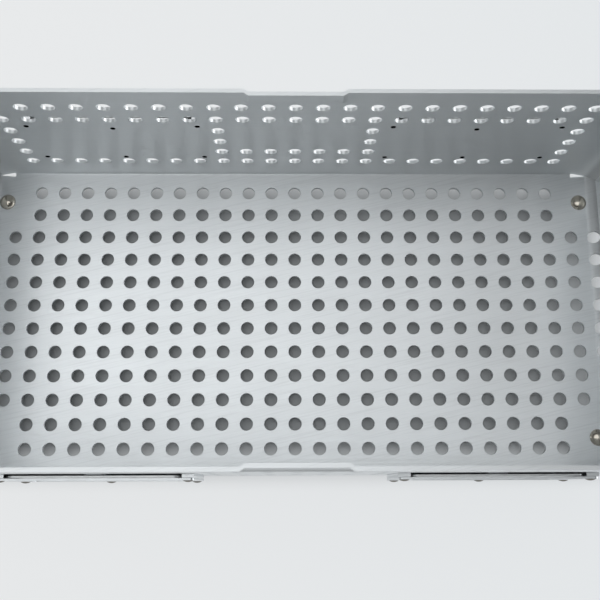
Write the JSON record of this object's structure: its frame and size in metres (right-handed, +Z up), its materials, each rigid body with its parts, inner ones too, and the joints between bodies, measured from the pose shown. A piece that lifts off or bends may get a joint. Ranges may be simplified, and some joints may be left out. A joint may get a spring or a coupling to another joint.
{
  "type": "sterilization container",
  "caption": "Open perforated aluminium sterilization container with rounded corners, domed floor rivets on feet and riveted holders for slide-in label cards.",
  "frame": {"origin": "under the middle of the box, on the surface that its feet stand on", "axes": "+X along the box to its right end, +Y across it to the back wall, +Z up"},
  "size_m": [0.274, 0.1372, 0.082],
  "materials": {
    "satin_aluminium": "satin anodised, finely brushed",
    "polished_steel": "polished",
    "spring_steel": "satin",
    "grey_silicone": "matt"
  },
  "bodies": {
    "box": {"body": "satin_aluminium", "front_left_foot": "grey_silicone", "front_left_foot_rivet": "polished_steel", "front_right_foot": "grey_silicone", "front_right_foot_rivet": "polished_steel", "back_left_foot": "grey_silicone", "back_left_foot_rivet": "polished_steel", "back_right_foot": "grey_silicone", "back_right_foot_rivet": "polished_steel", "front_left_spacer": "satin_aluminium", "front_left_frame": "satin_aluminium", "front_left_leaf_spring": "spring_steel", "front_left_rivet_low_left": "polished_steel", "front_left_rivet_low_middle": "polished_steel", "front_left_rivet_low_right": "polished_steel", "front_left_rivet_high_left": "polished_steel", "front_left_rivet_high_right": "polished_steel", "front_left_spring_rivet": "polished_steel", "front_right_spacer": "satin_aluminium", "front_right_frame": "satin_aluminium", "front_right_leaf_spring": "spring_steel", "front_right_rivet_low_left": "polished_steel", "front_right_rivet_low_middle": "polished_steel", "front_right_rivet_low_right": "polished_steel", "front_right_rivet_high_left": "polished_steel", "front_right_rivet_high_right": "polished_steel", "front_right_spring_rivet": "polished_steel", "back_left_spacer": "satin_aluminium", "back_left_frame": "satin_aluminium", "back_left_leaf_spring": "spring_steel", "back_left_rivet_low_left": "polished_steel", "back_left_rivet_low_middle": "polished_steel", "back_left_rivet_low_right": "polished_steel", "back_left_rivet_high_left": "polished_steel", "back_left_rivet_high_right": "polished_steel", "back_left_spring_rivet": "polished_steel", "back_right_spacer": "satin_aluminium", "back_right_frame": "satin_aluminium", "back_right_leaf_spring": "spring_steel", "back_right_rivet_low_left": "polished_steel", "back_right_rivet_low_middle": "polished_steel", "back_right_rivet_low_right": "polished_steel", "back_right_rivet_high_left": "polished_steel", "back_right_rivet_high_right": "polished_steel", "back_right_spring_rivet": "polished_steel"},
    "front_left_label": {"front_left_card": "satin_aluminium"},
    "front_right_label": {"front_right_card": "satin_aluminium"},
    "back_left_label": {"back_left_card": "satin_aluminium"},
    "back_right_label": {"back_right_card": "satin_aluminium"}
  },
  "joints": [
    {"name": "front_left_card_slide", "type": "slide", "parent": "box", "child": "front_left_label", "axis": [0, 0, 1], "range_m": [0, 0.03]},
    {"name": "front_right_card_slide", "type": "slide", "parent": "box", "child": "front_right_label", "axis": [0, 0, 1], "range_m": [0, 0.03]},
    {"name": "back_left_card_slide", "type": "slide", "parent": "box", "child": "back_left_label", "axis": [0, 0, 1], "range_m": [0, 0.03]},
    {"name": "back_right_card_slide", "type": "slide", "parent": "box", "child": "back_right_label", "axis": [0, 0, 1], "range_m": [0, 0.03]}
  ]
}
